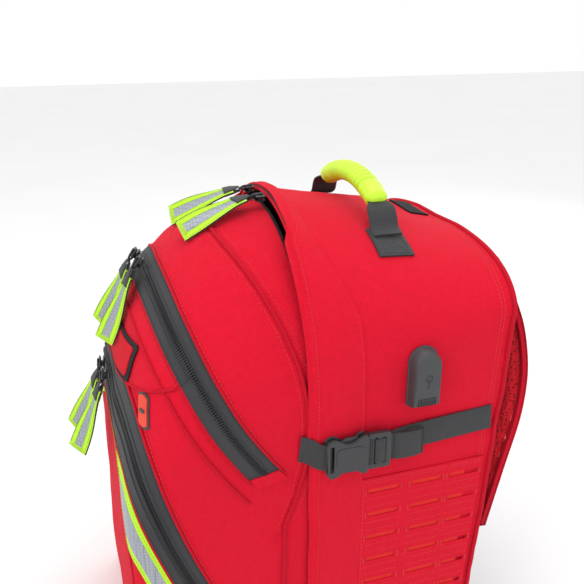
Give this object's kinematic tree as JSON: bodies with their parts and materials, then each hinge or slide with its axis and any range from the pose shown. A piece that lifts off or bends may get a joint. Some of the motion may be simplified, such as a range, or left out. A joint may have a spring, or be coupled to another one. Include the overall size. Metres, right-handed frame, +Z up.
{
  "type": "trauma backpack",
  "caption": "Clamshell responder backpack with domed zipped lid, stacked diagonal-zip front pockets, moulded carry handle, slotted side panels and a charging port.",
  "frame": {"origin": "on the base, on the centre line, 47 mm behind the plane of the main zip", "axes": "+Z up, -Y towards the front pockets, +Y towards the back of the wearer side, +X the side with the charging port"},
  "size_m": [0.3402, 0.4212, 0.519],
  "materials": {
    "red_fabric": "matt woven",
    "red_piping": "matt woven",
    "loop_panel": "brushed loop pile",
    "zip_tape": "coated",
    "grip_rubber": "satin",
    "soft_plastic": "satin",
    "socket_metal": "brushed",
    "buckle_plastic": "satin",
    "slider_metal": "semi gloss",
    "reflective_tape": "retroreflective",
    "spacer_mesh": "mesh",
    "badge_rubber": "matt",
    "base_fabric": "coated",
    "black_webbing": "woven"
  },
  "bodies": {
    "rear_shell": {"back_pad_left": "spacer_mesh", "back_pad_right": "spacer_mesh", "back_piping": "red_piping", "base_panel": "base_fabric", "handle_anchor_left": "black_webbing", "handle_anchor_right": "black_webbing", "harness_webbing_left": "black_webbing", "harness_webbing_right": "black_webbing", "ladder_lock_left": "buckle_plastic", "ladder_lock_right": "buckle_plastic", "load_panel_left": "red_fabric", "load_panel_right": "red_fabric", "lumbar_pad": "spacer_mesh", "main_shell": "red_fabric", "shoulder_strap_left": "spacer_mesh", "shoulder_strap_right": "spacer_mesh", "side_strap_rear_left": "black_webbing", "side_strap_rear_right": "black_webbing", "storm_flap": "red_fabric", "top_port_patch": "black_webbing", "usb_housing": "soft_plastic", "usb_socket": "socket_metal", "zip_tape_rear": "zip_tape"},
    "carry_handle": {"handle_grip": "grip_rubber", "handle_webbing": "black_webbing"},
    "front_lid": {"lid_shell": "red_fabric", "lid_piping": "red_piping", "zip_tape_lid": "zip_tape", "pocket_partition": "red_fabric", "upper_zip_tape_rear": "zip_tape", "lower_zip_tape_rear": "zip_tape", "side_buckle_female_left": "buckle_plastic", "side_buckle_female_right": "buckle_plastic", "side_strap_front_left": "black_webbing", "side_strap_front_right": "black_webbing", "badge": "badge_rubber"},
    "upper_pocket": {"upper_pocket_face": "red_fabric", "upper_zip_tape_front": "zip_tape", "name_panel": "loop_panel"},
    "lower_pocket": {"lower_pocket_face": "red_fabric", "lower_zip_tape_front": "zip_tape", "reflective_band": "reflective_tape"},
    "buckle_left": {"side_buckle_male_left": "buckle_plastic", "side_strap_tail_left": "black_webbing"},
    "buckle_right": {"side_buckle_male_right": "buckle_plastic", "side_strap_tail_right": "black_webbing"},
    "main_slider_left": {"main_left_slider": "slider_metal"},
    "main_pull_left": {"main_left_tab": "reflective_tape"},
    "main_slider_right": {"main_right_slider": "slider_metal"},
    "main_pull_right": {"main_right_tab": "reflective_tape"},
    "upper_slider_left": {"upper_left_slider": "slider_metal"},
    "upper_pull_left": {"upper_left_tab": "reflective_tape"},
    "upper_slider_right": {"upper_right_slider": "slider_metal"},
    "upper_pull_right": {"upper_right_tab": "reflective_tape"},
    "lower_slider_left": {"lower_left_slider": "slider_metal"},
    "lower_pull_left": {"lower_left_tab": "reflective_tape"},
    "lower_slider_right": {"lower_right_slider": "slider_metal"},
    "lower_pull_right": {"lower_right_tab": "reflective_tape"}
  },
  "joints": [
    {"name": "lid_open", "type": "hinge", "parent": "rear_shell", "child": "front_lid", "pos_m": [0, -0.047, 0], "axis": [1, 0, 0], "range_deg": [0, 180]},
    {"name": "upper_pocket_open", "type": "hinge", "parent": "front_lid", "child": "upper_pocket", "pos_m": [0, -0.203, 0.346], "axis": [1, 0, 0], "range_deg": [0, 50]},
    {"name": "lower_pocket_open", "type": "hinge", "parent": "front_lid", "child": "lower_pocket", "pos_m": [0, -0.2078, 0.022], "axis": [1, 0, 0], "range_deg": [0, 90]},
    {"name": "handle_swing", "type": "hinge", "parent": "rear_shell", "child": "carry_handle", "pos_m": [0, 0.045, 0.476], "axis": [1, 0, 0], "range_deg": [-55, 40]},
    {"name": "buckle_release_left", "type": "slide", "parent": "rear_shell", "child": "buckle_left", "axis": [0, 1, 0], "range_m": [0, 0.03]},
    {"name": "buckle_release_right", "type": "slide", "parent": "rear_shell", "child": "buckle_right", "axis": [0, 1, 0], "range_m": [0, 0.03]},
    {"name": "main_zip_left", "type": "hinge", "parent": "rear_shell", "child": "main_slider_left", "pos_m": [0, -0.055, 0.332], "axis": [0, 1, 0], "range_deg": [-78, 0]},
    {"name": "main_pull_left_swing", "type": "hinge", "parent": "main_slider_left", "child": "main_pull_left", "pos_m": [-0.01818, -0.0634, 0.49157], "axis": [1, 0, 0], "range_deg": [-85, 0]},
    {"name": "main_zip_right", "type": "hinge", "parent": "rear_shell", "child": "main_slider_right", "pos_m": [0, -0.055, 0.332], "axis": [0, 1, 0], "range_deg": [0, 78]},
    {"name": "main_pull_right_swing", "type": "hinge", "parent": "main_slider_right", "child": "main_pull_right", "pos_m": [0.01818, -0.0634, 0.49157], "axis": [1, 0, 0], "range_deg": [-85, 0]},
    {"name": "upper_zip_left", "type": "hinge", "parent": "upper_pocket", "child": "upper_slider_left", "pos_m": [0, -0.11014, 0.25374], "axis": [0, 0.9572, 0.2896], "range_deg": [-25, 0]},
    {"name": "upper_pull_left_swing", "type": "hinge", "parent": "upper_slider_left", "child": "upper_pull_left", "pos_m": [-0.0135, -0.17394, 0.43243], "axis": [1, 0, 0], "range_deg": [-75, 0]},
    {"name": "upper_zip_right", "type": "hinge", "parent": "upper_pocket", "child": "upper_slider_right", "pos_m": [0, -0.11014, 0.25374], "axis": [0, 0.9572, 0.2896], "range_deg": [0, 25]},
    {"name": "upper_pull_right_swing", "type": "hinge", "parent": "upper_slider_right", "child": "upper_pull_right", "pos_m": [0.0135, -0.17394, 0.43243], "axis": [1, 0, 0], "range_deg": [-75, 0]},
    {"name": "lower_zip_left", "type": "hinge", "parent": "lower_pocket", "child": "lower_slider_left", "pos_m": [0, -0.158, 0.10052], "axis": [0, 0.9814, 0.1922], "range_deg": [-14, 0]},
    {"name": "lower_pull_left_swing", "type": "hinge", "parent": "lower_slider_left", "child": "lower_pull_left", "pos_m": [-0.0135, -0.21098, 0.32323], "axis": [1, 0, 0], "range_deg": [-50, 0]},
    {"name": "lower_zip_right", "type": "hinge", "parent": "lower_pocket", "child": "lower_slider_right", "pos_m": [0, -0.158, 0.10052], "axis": [0, 0.9814, 0.1922], "range_deg": [0, 14]},
    {"name": "lower_pull_right_swing", "type": "hinge", "parent": "lower_slider_right", "child": "lower_pull_right", "pos_m": [0.0135, -0.21098, 0.32323], "axis": [1, 0, 0], "range_deg": [-50, 0]}
  ]
}
